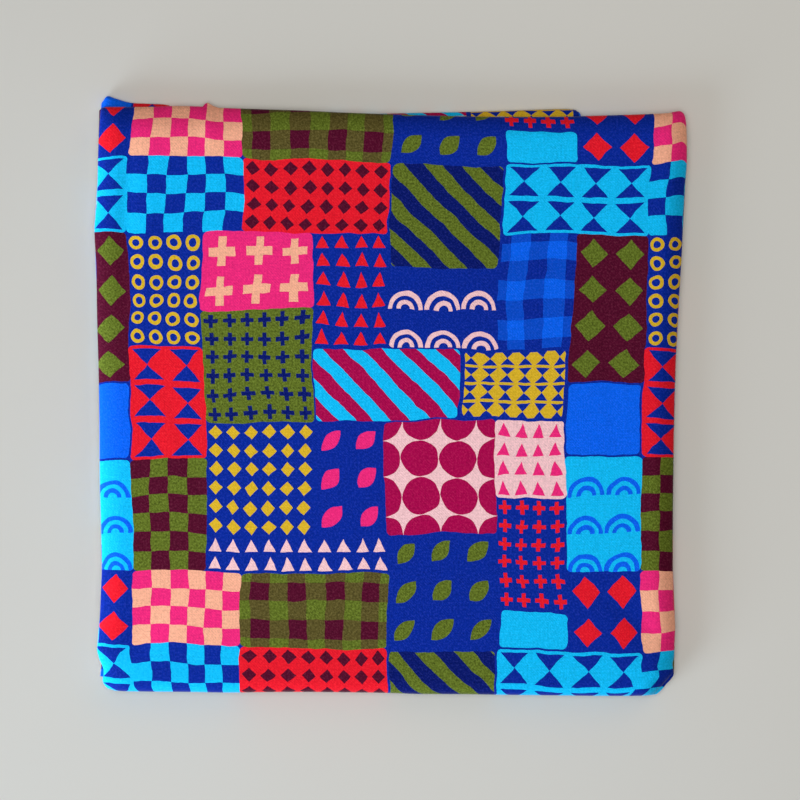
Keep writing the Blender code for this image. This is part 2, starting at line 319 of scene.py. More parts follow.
# The print: a repeat of patches charted on a board of square cells, a letter for each.
CELL = 18.0
LAYOUT = (
    "aaabbbbcccdddd",
    "aaabbbbcccdddd",
    "eefffggccchhii",
    "eefffggjjjhhii",
    "eekkkggjjjhhii",
    "llkkkmmmmAAAii",
    "llkkkmmmmAAAoo",
    "llpppnnqqqrroo",
    "sspppnnqqqrruu",
    "sspppnnqqqvvuu",
    "sswwwwwxxxvvuu",
    "yyyBBBBxxxvvzz",
    "yyyBBBBxxxCCzz",
)
COLUMNS, ROWS = len(LAYOUT[0]), len(LAYOUT)
Patch = namedtuple("Patch", "ground figure motif per_cell inset")
PATCHES = {
    "a": Patch("cobalt", "turquoise", "checks", 1.0, 0.0),
    "b": Patch("red", "wine", "diamonds", 2.0, 0.0),
    "c": Patch("olive", "navy", "slants", 1.0, 1.2),
    "d": Patch("turquoise", "cobalt", "hourglass", 1.0, 0.0),
    "e": Patch("cobalt", "yellow", "rings", 2.0, 0.0),
    "f": Patch("hot_pink", "peach", "pluses", 1.0, 0.0),
    "g": Patch("cobalt", "red", "triangles", 2.0, 0.0),
    "h": Patch("cobalt", "royal", "gingham", 1.0, 0.0),
    "i": Patch("wine", "olive", "diamonds", 1.0, 0.0),
    "j": Patch("cobalt", "pale_pink", "scallops", 1.0, 0.0),
    "k": Patch("olive", "navy", "pluses", 2.0, 0.0),
    "l": Patch("red", "cobalt", "hourglass", 1.0, 0.0),
    "m": Patch("turquoise", "magenta", "slants", 1.0, 0.8),
    "n": Patch("cobalt", "hot_pink", "leaves", 1.0, 0.0),
    "o": Patch("royal", "royal", "plain", 1.0, 1.0),
    "p": Patch("cobalt", "yellow", "diamonds", 2.0, 0.0),
    "q": Patch("magenta", "pale_pink", "stars", 1.0, 0.0),
    "r": Patch("pale_pink", "hot_pink", "triangles", 2.0, 0.0),
    "s": Patch("wine", "olive", "checks", 1.0, 0.0),
    "u": Patch("turquoise", "royal", "scallops", 1.0, 0.0),
    "v": Patch("cobalt", "red", "pluses", 2.0, 0.0),
    "w": Patch("cobalt", "pale_pink", "triangles", 2.0, 0.0),
    "x": Patch("cobalt", "olive", "leaves", 1.0, 0.0),
    "y": Patch("hot_pink", "peach", "checks", 1.0, 0.0),
    "z": Patch("cobalt", "red", "diamonds", 1.0, 0.0),
    "A": Patch("yellow", "cobalt", "hourglass", 2.0, 1.6),
    "B": Patch("olive", "wine", "gingham", 1.0, 0.0),
    "C": Patch("turquoise", "turquoise", "plain", 1.0, 1.0),
}
PRINT_START = (7.0, 6.6)  # the board's cell under the middle of the top
RAMP_CELLS = 255.0        # a colour ramp is read in this many steps
LETTER_SCALE = 32.0       # scales that bring whole numbers into a ramp's 0 to 1
PLACE_SCALE = 16.0
CORNER_RADIUS = 2.0

# No edge of the print is straight: it drifts slowly and wavers quickly, by millimetres.
Waver = namedtuple("Waver", "length detail reach")
WAVERS = (Waver(62.0, 1.0, 9.0), Waver(11.0, 2.0, 2.6))


def ease(share):
    """Go from 0 to 1 without corners."""
    share = np.clip(share, 0.0, 1.0)
    return share * share * (3.0 - 2.0 * share)


def curve_at(rows, column, place):
    """Read one column of an edge table on a smooth curve, at places in metres."""
    stops = np.array([row[0] for row in rows]) * MM
    values = np.array([getattr(row, column) for row in rows]) * MM
    numbers = np.arange(len(rows))
    after = np.minimum(numbers + 1, len(rows) - 1)
    before = np.maximum(numbers - 1, 0)
    slopes = (values[after] - values[before]) / (stops[after] - stops[before])
    place = np.clip(place, stops[0], stops[-1])
    here = np.clip(np.searchsorted(stops, place, "right") - 1, 0, len(rows) - 2)
    span = stops[here + 1] - stops[here]
    t = (place - stops[here]) / span
    rise = values[here + 1] - values[here]
    return (values[here] + rise * ease(t) + span * slopes[here] * t * (1.0 - t) ** 2
            - span * slopes[here + 1] * t * t * (1.0 - t))


# One leg of a course: where it starts, its length, the levels that it joins, its placing.
Leg = namedtuple("Leg", "start length first second place")


class Course:
    """A run of flat lengths joined by turns, in section, in the order the cloth takes them."""

    def __init__(self, height_of, press, tuck):
        """Start with no legs; turns are pressed flatter, and their hidden plies lie back."""
        self.height_of = height_of
        self.press = press
        self.tuck = tuck
        self.legs = []
        self.length = 0.0

    def add(self, length, first, second, place):
        """Put one more leg at the end."""
        self.legs.append(Leg(self.length, length, first, second, place))
        self.length += length

    def run(self, level, here, there):
        """Go straight along one level."""
        heading = math.copysign(1.0, there - here)

        def place(along, off):
            return here + heading * along, self.height_of(level) + heading * off

        self.add(abs(there - here), level, level, place)

    def turn(self, side, first, second, centre):
        """Turn from one level into another round a centre at this side."""
        radius = abs(self.height_of(second) - self.height_of(first)) / 2
        rising = math.copysign(1.0, second - first)
        middle = (self.height_of(first) + self.height_of(second)) / 2

        def place(along, off):
            angle = along / radius
            reach = radius - side * rising * off
            hidden = ease((1.5 * PLY_PITCH - CLOTH_THICK / 2 - off) / (PLY_PITCH - CLOTH_THICK))
            tuck = self.tuck * (hidden if side * rising < 0 else 1.0)
            across = centre + side * (self.press * reach - tuck) * np.sin(angle)
            return across, middle - rising * reach * np.cos(angle)

        self.add(math.pi * radius, first, second, place)

    def leg_numbers(self, along):
        """Give the number of the leg that each place along the course lies in."""
        starts = [leg.start for leg in self.legs]
        return np.clip(np.searchsorted(starts, along, "right") - 1, 0, len(starts) - 1)

    def place(self, along, off):
        """Give the section's place across and its height, off the middle line."""
        across, height = np.empty_like(along), np.empty_like(along)
        numbers = self.leg_numbers(along)
        for number, leg in enumerate(self.legs):
            here = numbers == number
            across[here], height[here] = leg.place(along[here] - leg.start, off[here])
        return across, height

    def stations(self, steps_of):
        """Give the places where the cloth is cut, from each leg's steps of 0 to 1."""
        places = [0.0]
        for leg in self.legs:
            places.extend(leg.start + leg.length * steps_of(leg))
        return np.array(places)


def ply_course():
    """Fold the cloth's width: selvedge to selvedge, then once more into four plies."""
    course = Course(lambda ply: (ply - PLY_MIDDLE) * PLY_PITCH, press=1.0, tuck=0.0)
    half = BAND_WIDTH / 2
    right = half - 1.5 * PLY_PITCH - CLOTH_THICK / 2
    left = -half + 0.5 * PLY_PITCH + CLOTH_THICK / 2
    course.run(1, -half + LOW_SELVEDGE_INSET, right)
    course.turn(RIGHT, 1, 4, right)
    course.run(4, right, left)
    course.turn(LEFT, 4, 3, left)
    course.run(3, left, right)
    course.turn(RIGHT, 3, 2, right)
    course.run(2, right, -half + HIGH_SELVEDGE_INSET)
    return course


def band_course():
    """Lay the doubled band back and forth in three, from its raw end in layer two."""
    course = Course(lambda layer: LAYER_THICK / 2 + (layer - 1) * LAYER_PITCH, FOLD_PRESS,
                    FOLD_TUCK)
    wide = FOLD_PRESS * (1.5 * LAYER_PITCH + LAYER_THICK / 2)
    tight = FOLD_PRESS * (0.5 * LAYER_PITCH + LAYER_THICK / 2)
    lower_back, upper_back = BACK_EDGE_Y - wide, BACK_EDGE_Y - tight
    front = FRONT_EDGE_Y + wide
    course.run(2, RAW_END_Y, lower_back)
    course.turn(BACK, 2, 3, lower_back)
    course.run(3, lower_back, front)
    course.turn(FRONT, 3, 6, front)
    course.run(6, front, upper_back)
    course.turn(BACK, 6, 5, upper_back)
    course.run(5, upper_back, front)
    course.turn(FRONT, 5, 4, front)
    course.run(4, front, lower_back)
    course.turn(BACK, 4, 1, lower_back)
    course.run(1, lower_back, RAW_END_Y)
    return course


def even_steps(cells):
    """Cut a length into even cells."""
    return np.arange(1, cells + 1) / cells


def crowded_steps(cells):
    """Cut a length into cells that crowd towards its ends."""
    steps = even_steps(cells)
    return steps - END_CROWDING * np.sin(2 * math.pi * steps) / (2 * math.pi)


def ply_steps(leg):
    """Say where one leg of the ply course is cut."""
    if leg.first != leg.second:
        wide = abs(leg.first - leg.second) > 1
        return even_steps(WIDE_PLY_TURN_CELLS if wide else TIGHT_PLY_TURN_CELLS)
    on_top = leg.first == TOP_PLY
    here = leg.place(0.0, 0.0)[0]
    there = leg.place(leg.length, 0.0)[0]
    steps = (np.array(TOP_PLY_CUTS if on_top else HIDDEN_PLY_CUTS) * MM - here) / (there - here)
    return np.sort(np.append(steps, crowded_steps(TOP_PLY_CELLS) if on_top else 1.0))


def layer_steps(leg):
    """Say where one leg of the band course is cut."""
    if leg.first != leg.second:
        wide = abs(leg.first - leg.second) > 1
        return even_steps(WIDE_LAYER_TURN_CELLS if wide else TIGHT_LAYER_TURN_CELLS)
    return crowded_steps(TOP_LAYER_CELLS if leg.first == TOP_LAYER else HIDDEN_LAYER_CELLS)


def leg_column(course, numbers, column):
    """Read one field of the legs for each leg number."""
    return np.array([getattr(leg, column) for leg in course.legs])[numbers]


def wander(course, along, down):
    """Shift the plies' ends a little, so that they don't lie in one line."""
    bounds = [0.0]
    for leg in course.legs:
        if leg.first != leg.second:
            bounds.extend((leg.start, leg.start + leg.length))
    bounds.append(course.length)
    ends = [end.lean + end.sway * np.sin(down / (end.wave * MM) + end.phase) for end in PLY_ENDS]
    shift = np.zeros_like(along)
    span_ends = [(ends[0], ends[1]), (ends[1], ends[1]), (ends[1], ends[2]), (ends[2], ends[2]),
                 (ends[2], ends[3]), (ends[3], ends[3]), (ends[3], ends[4])]
    for (low, high), (first, second) in zip(zip(bounds, bounds[1:]), span_ends):
        here = (along >= low) & (along <= high)
        share = (along[here] - low) / (high - low)
        shift[here] = first[here] + (second[here] - first[here]) * share
    return shift * MM


def pull_to_outline(x, y, at_back, at_front):
    """Move points from the even packet to the outline of their own layers.

    The sides draw the whole width in or out; the corners only move what lies near them.
    """
    even_y = np.clip(y, CORNERS_FROM, CORNERS_TO)
    left = curve_at(SIDE_EDGES, "left", even_y)
    right = curve_at(SIDE_EDGES, "right", even_y)
    upper = np.where(y > 0.0, at_back, at_front)
    left_corner = curve_at(SIDE_EDGES, "left", y) - left
    left_corner += np.where(upper, 0.0, curve_at(LOWER_CORNERS, "left", y))
    right_corner = curve_at(SIDE_EDGES, "right", y) - right
    right_corner += np.where(upper, 0.0, curve_at(LOWER_CORNERS, "right", y))
    half = BAND_WIDTH / 2
    near_left = 1.0 - ease((x + half) / CORNER_REACH)
    near_right = 1.0 - ease((half - x) / CORNER_REACH)
    x = left + (x / BAND_WIDTH + 0.5) * (right - left)
    x = x + left_corner * near_left + right_corner * near_right
    back = np.where(at_back, curve_at(BACK_EDGES, "upper", x), curve_at(BACK_EDGES, "lower", x))
    front = curve_at(FRONT_EDGES, "y", x)
    off_nick = np.where(x < NICK.x, (NICK.x - x) / NICK.left, (x - NICK.x) / NICK.right)
    nick = np.where(at_back, NICK.rise, 0.0) * ease(1.0 - off_nick)
    nick *= ease((y - BACK_EDGE_Y) / NICK.reach + 1.0)
    y = y + (back - BACK_EDGE_Y) * ease((y - BACK_EDGE_Y) / END_REACH + 1.0) + nick
    y = y + (front - FRONT_EDGE_Y) * ease((FRONT_EDGE_Y - y) / END_REACH + 1.0)
    return x, y


def drop_share(drop, inside):
    """Say how much of its height the stack keeps at a distance inside one rounded side."""
    short = 1.0 - np.clip(inside / drop.reach, 0.0, 1.0)
    return 1.0 - drop.share * (1.0 - np.sqrt(1.0 - short * short))


def hump(mark, x, y):
    """Give a soft oval bump of height 1 at a mark, long one way and narrow the other."""
    turn = math.radians(mark.turn)
    dx, dy = x / MM - mark.x, y / MM - mark.y
    along = (dx * math.cos(turn) + dy * math.sin(turn)) / mark.along
    across = (dy * math.cos(turn) - dx * math.sin(turn)) / mark.across
    return np.exp(-along ** 2 - across ** 2)


def height_share(x, y):
    """Say how much of its full height the stack has at each place."""
    share = drop_share(LEFT_DROP, x - curve_at(SIDE_EDGES, "left", y))
    share *= drop_share(RIGHT_DROP, curve_at(SIDE_EDGES, "right", y) - x)
    share *= drop_share(BACK_DROP, curve_at(BACK_EDGES, "upper", x) - y)
    share *= drop_share(FRONT_DROP, y - curve_at(FRONT_EDGES, "y", x))
    for swell in SWELLS:
        share *= 1.0 + swell.share * hump(swell, x, y)
    for crease in CREASES:
        share *= 1.0 + crease.rise * MM / CAD_HIGH.z * hump(crease, x, y)
    return share


def fold_points(plies, band, flat):
    """Fold points of the flat cloth, given as rows of width, length and thickness."""
    wide, long, off = flat.T
    x, rise = plies.place(wide, off)
    x = x + wander(plies, wide, long)
    y, z = band.place(long, rise)
    numbers = band.leg_numbers(long)
    first = leg_column(band, numbers, "first")
    second = leg_column(band, numbers, "second")
    start = leg_column(band, numbers, "start")
    turned = ease((long - start) / leg_column(band, numbers, "length"))
    shifts = np.array([0.0] + [LAYER_SIDE_SHIFT[layer] for layer in sorted(LAYER_SIDE_SHIFT)])
    x = x + (shifts[first] + (shifts[second] - shifts[first]) * turned) * MM
    layer = np.maximum(first, second)
    x, y = pull_to_outline(x, y, layer >= UPPER_AT_BACK, layer >= UPPER_AT_FRONT)
    z = z * height_share(x, y)
    return np.stack((x, y, z), axis=1)


def sort_faces(sheet):
    """Put the faces in the same order each run, which solidify doesn't do for the rim."""
    sheet.verts.index_update()
    count = len(sheet.verts)

    def place_in_order(face):
        corners = [vert.index for vert in face.verts]
        return min(corners) * count + max(corners)

    sheet.faces.sort(key=place_in_order)


def flat_cloth(wide_cuts, long_cuts):
    """Make the cloth as it was cut: a thin flat sheet, cut into cells at the given places."""
    sheet = bmesh.new()
    columns, rows = len(wide_cuts) - 1, len(long_cuts) - 1
    bmesh.ops.create_grid(sheet, x_segments=columns, y_segments=rows, size=0.5)
    for vert in sheet.verts:
        column = round((vert.co.x + 0.5) * columns)
        row = round((vert.co.y + 0.5) * rows)
        vert.co = (wide_cuts[column], long_cuts[row], 0.0)
    bmesh.ops.solidify(sheet, geom=sheet.faces[:], thickness=CLOTH_THICK)
    low = min(vert.co.z for vert in sheet.verts)
    bmesh.ops.translate(sheet, vec=(0.0, 0.0, -low - CLOTH_THICK / 2), verts=sheet.verts)
    sort_faces(sheet)
    mesh = bpy.data.meshes.new("folded_cloth_sheet")
    sheet.to_mesh(mesh)
    sheet.free()
    return mesh


def mesh_numbers(items, name, width, kind=np.float64):
    """Read one field of all of a mesh's items."""
    found = np.empty(len(items) * width, kind)
    items.foreach_get(name, found)
    return found.reshape(-1, width) if width > 1 else found


def spread_box(box, across, up):
    """Place shares of 0 to 1 in a box of the map."""
    return np.stack((box[0] + across * (box[2] - box[0]), box[1] + up * (box[3] - box[1])), 1)


def map_cloth(mesh, plies, band, wide_cuts, long_cuts):
    """Give the flat cloth its map in metres, its map for painting, and its bare places."""
    corners = mesh_numbers(mesh.loops, "vertex_index", 1, np.int32)
    places = mesh_numbers(mesh.vertices, "co", 3)[corners]
    counts = mesh_numbers(mesh.polygons, "loop_total", 1, np.int32)
    middles = mesh_numbers(mesh.polygons, "center", 3)
    normals = mesh_numbers(mesh.polygons, "normal", 3)
    faces = np.repeat(np.arange(len(counts)), counts)

    top_ply = next(leg for leg in plies.legs if leg.first == leg.second == TOP_PLY)
    top_layer = next(leg for leg in band.legs if leg.first == leg.second == TOP_LAYER)
    centre = (top_ply.start + top_ply.length / 2, top_layer.start + top_layer.length / 2)
    cloth = np.stack((centre[0] - places[:, 0], places[:, 1] - centre[1]), 1)
    mesh.uv_layers.new(name="cloth").uv.foreach_set("vector", cloth.astype(np.float32).ravel())

    across = np.interp(places[:, 0], wide_cuts, np.linspace(0.0, 1.0, len(wide_cuts)))
    up = np.interp(places[:, 1], long_cuts, np.linspace(0.0, 1.0, len(long_cuts)))
    painted = spread_box(MAP_REST, across, up)
    wrong_side = normals[faces, 2] > 0.5
    painted[wrong_side] = spread_box(MAP_WRONG_SIDE, across, up)[wrong_side]
    for box, low, high in ((MAP_TOP, *top_corners(plies, band)),
                           (MAP_UNDERSIDE, *underside_corners(plies, band))):
        inside = (middles[faces, :2] > low).all(1) & (middles[faces, :2] < high).all(1)
        inside &= ~wrong_side
        shares = (places[:, :2] - low) / (high - low)
        painted[inside] = spread_box(box, shares[:, 0], shares[:, 1])[inside]
    mesh.uv_layers.new(name="OFBake").uv.foreach_set("vector", painted.astype(np.float32).ravel())

    bare = np.where(normals[:, 2] > 0.5, BARE_WRONG_SIDE, BARE_RIGHT_SIDE)
    bare[np.abs(normals[:, 2]) < 0.5] = BARE_RAW_EDGE
    from_edge = np.minimum(middles[:, 0], plies.length - middles[:, 0])
    bare[from_edge < SELVEDGE_WIDTH] = BARE_SELVEDGE
    mesh.attributes.new("bare", "FLOAT", "FACE").data.foreach_set("value", bare)


def top_corners(plies, band):
    """Give the flat cloth's corners of what shows from above, its turns included."""
    legs = [leg for leg in plies.legs if TOP_PLY in (leg.first, leg.second)]
    layers = [leg for leg in band.legs if TOP_LAYER in (leg.first, leg.second)]
    low = np.array((legs[0].start, layers[0].start))
    high = np.array((legs[-1].start + legs[-1].length, layers[-1].start + layers[-1].length))
    return low, high


def underside_corners(plies, band):
    """Give the flat cloth's corners of what shows from below."""
    ply = next(leg for leg in plies.legs if leg.first == leg.second == BOTTOM_PLY)
    layers = [leg for leg in band.legs if BOTTOM_LAYER in (leg.first, leg.second)]
    low = np.array((ply.start, layers[0].start))
    high = np.array((ply.start + ply.length, layers[-1].start + layers[-1].length))
    return low, high


class Value:
    """A socket of a material's nodes; arithmetic on it adds Math nodes."""

    def __init__(self, nodes, socket):
        self.nodes = nodes
        self.socket = socket

    def __add__(self, other):
        return self.nodes.math("ADD", self, other)

    def __sub__(self, other):
        return self.nodes.math("SUBTRACT", self, other)

    def __rsub__(self, other):
        return self.nodes.math("SUBTRACT", other, self)

    def __mul__(self, other):
        return self.nodes.math("MULTIPLY", self, other)

    def __truediv__(self, other):
        return self.nodes.math("DIVIDE", self, other)

    def __lt__(self, other):
        return self.nodes.math("LESS_THAN", self, other)

    def __gt__(self, other):
        return self.nodes.math("GREATER_THAN", self, other)

    def __abs__(self):
        return self.nodes.math("ABSOLUTE", self)

    __radd__ = __add__
    __rmul__ = __mul__


class Nodes:
    """Adds nodes to one material."""

    def __init__(self, material):
        material.use_nodes = True
        self.tree = material.node_tree
        self.shader = self.tree.nodes["Principled BSDF"]

    def add(self, kind, settings=None, inputs=None, output=0):
        """Add a node with its settings, its inputs by name or number, and give an output."""
        node = self.tree.nodes.new(kind)
        for name, setting in (settings or {}).items():
            if name == "stops":
                self.set_stops(node.color_ramp, setting)
            else:
                setattr(node, name, setting)
        for name, value in (inputs or {}).items():
            self.feed(node, name, value)
        return Value(self, node.outputs[output])

    def feed(self, node, name, value):
        """Link or set one input of a node."""
        if isinstance(value, Value):
            self.tree.links.new(value.socket, node.inputs[name])
        else:
            node.inputs[name].default_value = value

    def set_stops(self, ramp, stops):
        """Give a colour ramp hard steps at these places."""
        ramp.interpolation = "CONSTANT"
        ramp.elements.remove(ramp.elements[1])
        ramp.elements[0].position = 0.0
        ramp.elements[0].color = stops[0][1]
        for place, colour in stops[1:]:
            ramp.elements.new(place).color = colour

    def math(self, operation, *values):
        """Add one step of shader arithmetic."""
        return self.add("ShaderNodeMath", {"operation": operation}, dict(enumerate(values)))

    def split(self, colour):
        """Give the three parts of a vector or colour."""
        first = self.add("ShaderNodeSeparateXYZ", inputs={0: colour})
        sockets = first.socket.node.outputs
        return [Value(self, socket) for socket in sockets]

    def join(self, x, y, z=0.0):
        """Make a vector of its parts."""
        return self.add("ShaderNodeCombineXYZ", inputs={0: x, 1: y, 2: z})

    def mix(self, share, first, second):
        """Mix two colours."""
        settings = {"data_type": "RGBA", "clamp_factor": True}
        return self.add("ShaderNodeMix", settings, {0: share, 6: first, 7: second}, output=2)

    def noise(self, vector, scale, detail=2.0, roughness=0.5, output=0):
        """Give soft noise of 0 to 1, or with output 1 three of them as a colour."""
        inputs = {"Vector": vector, "Scale": scale, "Detail": detail, "Roughness": roughness}
        return self.add("ShaderNodeTexNoise", inputs=inputs, output=output)


# Each motif is drawn in a square that runs from -0.5 to 0.5 both ways, as 1 on its figure.
def checks(nodes, px, py):
    """Fill two opposite quarters of the square."""
    return px * py > 0.0


def diamonds(nodes, px, py, reach=0.39):
    """Stand a smaller square on its corner."""
    return abs(px) + abs(py) < reach


def gingham(nodes, px, py, half_width=0.25):
    """Cross two bands, which are full where they cross and half elsewhere."""
    return (abs(px) < half_width) * 0.5 + (abs(py) < half_width) * 0.5


def hourglass(nodes, px, py, slope=0.95, reach=0.42):
    """Stand two triangles point to point."""
    return (abs(px) < abs(py) * slope) * (abs(py) < reach)


def leaves(nodes, px, py, half_width=0.30, taper=1.1):
    """Lay a pointed leaf on the slant."""
    along = px + py
    return abs(px - py) + along * along * taper < half_width


def pluses(nodes, px, py, half_width=0.11, reach=0.36):
    """Cross two short bars."""
    narrow = nodes.math("MINIMUM", abs(px), abs(py)) < half_width
    return narrow * (nodes.math("MAXIMUM", abs(px), abs(py)) < reach)


def rings(nodes, px, py, radius=0.29, half_width=0.09):
    """Draw a ring."""
    return abs(nodes.math("SQRT", px * px + py * py) - radius) < half_width


def scallops(nodes, px, py, outer=0.42, inner=0.19, half_width=0.06):
    """Draw two arches, one inside the other, on the square's lower side."""
    rise = py + 0.5
    reach = nodes.math("SQRT", px * px + rise * rise)
    return (abs(reach - outer) < half_width) + (abs(reach - inner) < half_width)


def slants(nodes, px, py, half_width=0.25):
    """Run a slanting stripe through."""
    return abs(nodes.math("FRACT", px + py + 1.0) - 0.5) < half_width


def stars(nodes, px, py, reach=0.78):
    """Draw a star with four hollow sides."""
    return nodes.math("SQRT", abs(px)) + nodes.math("SQRT", abs(py)) < reach


def triangles(nodes, px, py, slope=2.0, tip=0.38, foot=-0.34):
    """Stand a triangle on its foot."""
    return (abs(px) * slope + py < tip) * (py > foot)


MOTIFS = {
    "plain": None,
    "checks": checks,
    "diamonds": diamonds,
    "gingham": gingham,
    "hourglass": hourglass,
    "leaves": leaves,
    "pluses": pluses,
    "rings": rings,
    "scallops": scallops,
    "slants": slants,
    "stars": stars,
    "triangles": triangles,
}


def letters_in_order():
    """List the patches' letters, each once, from the lowest row up."""
    found = []
    for row in reversed(LAYOUT):
        for letter in row:
            if letter not in found:
                found.append(letter)
    return found


def patch_box(letter):
    """Give a patch's first column and row, and how many it has of each."""
    cells = [(column, row) for row, line in enumerate(reversed(LAYOUT))
             for column, here in enumerate(line) if here == letter]
    columns = [cell[0] for cell in cells]
    rows = [cell[1] for cell in cells]
    return min(columns), min(rows), max(columns) - min(columns) + 1, max(rows) - min(rows) + 1


def ramp_place(number):
    """Give the place on a ramp where a whole number's colour starts."""
    return max(number - 0.5, 0.0) / RAMP_CELLS


def grey(value):
    """Give a number as a colour."""
    return (value, value, value, 1.0)


def board_ramp(nodes, factor, rows):
    """Look up the letter of a cell among some rows of the layout, as a scaled number."""
    order = letters_in_order()
    line = "".join(list(reversed(LAYOUT))[row] for row in rows)
    stops = [(ramp_place(number), grey(order.index(letter) / LETTER_SCALE))
             for number, letter in enumerate(line) if number == 0 or line[number - 1] != letter]
    return nodes.add("ShaderNodeValToRGB", {"stops": stops}, {0: factor})


def patch_ramp(nodes, factor, colour_of, output=0):
    """Look up one fact of a patch by its number."""
    stops = [(ramp_place(number), colour_of(letter))
             for number, letter in enumerate(letters_in_order())]
    return nodes.add("ShaderNodeValToRGB", {"stops": stops}, {0: factor}, output)


# A ramp holds 32 stops, so the board is looked up in three parts.
LOW_ROWS, MIDDLE_ROWS, TOP_ROWS = range(0, 4), range(4, 8), range(8, ROWS)


def patch_number(nodes, column, row):
    """Look up which patch a cell of the board belongs to."""
    in_middle = row > MIDDLE_ROWS[0] - 0.5
    in_top = row > TOP_ROWS[0] - 0.5
    first_row = in_middle * len(LOW_ROWS) + in_top * len(MIDDLE_ROWS)
    factor = ((row - first_row) * COLUMNS + column + 0.5) / RAMP_CELLS
    low = board_ramp(nodes, factor, LOW_ROWS)
    middle = board_ramp(nodes, factor, MIDDLE_ROWS)
    top = board_ramp(nodes, factor, TOP_ROWS)
    letter = nodes.mix(in_top, nodes.mix(in_middle, low, middle), top)
    return nodes.math("ROUND", letter * LETTER_SCALE)


def start_colour(letter):
    """Give a patch's first column and row as a ramp's colour."""
    column, row, _, _ = patch_box(letter)
    return (column / PLACE_SCALE, row / PLACE_SCALE, 0.0, 1.0)


def size_colour(letter):
    """Give a patch's columns and rows as a ramp's colour."""
    _, _, columns, rows = patch_box(letter)
    return (columns / PLACE_SCALE, rows / PLACE_SCALE, 0.0, 1.0)


def look_colour(letter):
    """Give a patch's motif, its squares a cell and its inset as a ramp's colour."""
    patch = PATCHES[letter]
    motif = list(MOTIFS).index(patch.motif)
    return (motif / PLACE_SCALE, patch.per_cell / PLACE_SCALE, patch.inset / PLACE_SCALE, 1.0)


def figure_mask(nodes, look, right, rise):
    """Draw a patch's motif over it, from its own corner."""
    motif, per_cell = look[0] * PLACE_SCALE, look[1] * PLACE_SCALE
    px = nodes.math("FRACT", right * per_cell) - 0.5
    py = nodes.math("FRACT", rise * per_cell) - 0.5
    figured = 0.0
    for number, draw in enumerate(MOTIFS.values()):
        if draw:
            chosen = nodes.math("COMPARE", motif, float(number), 0.5)
            figured = figured + chosen * draw(nodes, px, py)
    return figured


def patch_mask(nodes, size, inset, right, rise):
    """Draw a patch's own area, with round corners."""
    from_side = nodes.math("MINIMUM", right, size[0] * PLACE_SCALE - right) * CELL - inset
    from_end = nodes.math("MINIMUM", rise, size[1] * PLACE_SCALE - rise) * CELL - inset
    near_side = nodes.math("MAXIMUM", CORNER_RADIUS - from_side, 0.0)
    near_end = nodes.math("MAXIMUM", CORNER_RADIUS - from_end, 0.0)
    return near_side * near_side + near_end * near_end < CORNER_RADIUS ** 2


def print_colour(nodes, x, y):
    """Give the printed colour at a place on the cloth, in millimetres."""
    place = nodes.join(x, y)
    for waver in WAVERS:
        noise = nodes.noise(place, 1 / waver.length, waver.detail, output=1)
        shift_x, shift_y, _ = nodes.split(noise)
        x = x + (shift_x - 0.5) * waver.reach
        y = y + (shift_y - 0.5) * waver.reach
    across = nodes.math("FRACT", (x / CELL + PRINT_START[0]) / COLUMNS) * COLUMNS
    up = nodes.math("FRACT", (y / CELL + PRINT_START[1]) / ROWS) * ROWS
    number = patch_number(nodes, nodes.math("FLOOR", across), nodes.math("FLOOR", up))

    factor = (number + 0.5) / RAMP_CELLS
    ground = patch_ramp(nodes, factor, lambda name: INKS[PATCHES[name].ground])
    figure = patch_ramp(nodes, factor, lambda name: INKS[PATCHES[name].figure])
    start = nodes.split(patch_ramp(nodes, factor, start_colour))
    size = nodes.split(patch_ramp(nodes, factor, size_colour))
    look = nodes.split(patch_ramp(nodes, factor, look_colour))
    right = across - start[0] * PLACE_SCALE
    rise = up - start[1] * PLACE_SCALE
    figured = figure_mask(nodes, look, right, rise)
    within = patch_mask(nodes, size, look[2] * PLACE_SCALE, right, rise)
    return nodes.mix(within, INKS["cobalt"], nodes.mix(figured, ground, figure))


def twill_lines(nodes, x, y):
    """Give the fine slanting lines of a twill, from -1 to 1, clearer here and fainter there."""
    place = nodes.join(x, y)
    turns = (x + y) * (2.0 * math.pi / TWILL_PITCH / math.sqrt(2.0))
    line = nodes.math("SINE", turns + nodes.noise(place, TWILL_BEND_CELLS) * TWILL_BEND)
    clear = nodes.noise(place, TWILL_CLEAR_CELLS) * TWILL_CLEAR - 1.0
    return line * nodes.math("MAXIMUM", clear, TWILL_FAINTEST)


def speckle(nodes, colour):
    """Say how speckled a colour looks."""
    red, green, blue = nodes.split(colour)
    brightest = nodes.math("MAXIMUM", red, nodes.math("MAXIMUM", green, blue))
    dark = nodes.math("MAXIMUM", DARK_UNDER - brightest, 0.0)
    greener = nodes.math("MAXIMUM", green - blue, 0.0)
    olive = nodes.math("MINIMUM", greener, OLIVE_UNDER) * dark
    return FUZZ_SHADE + dark * DARK_SPECKLE + olive * OLIVE_SPECKLE


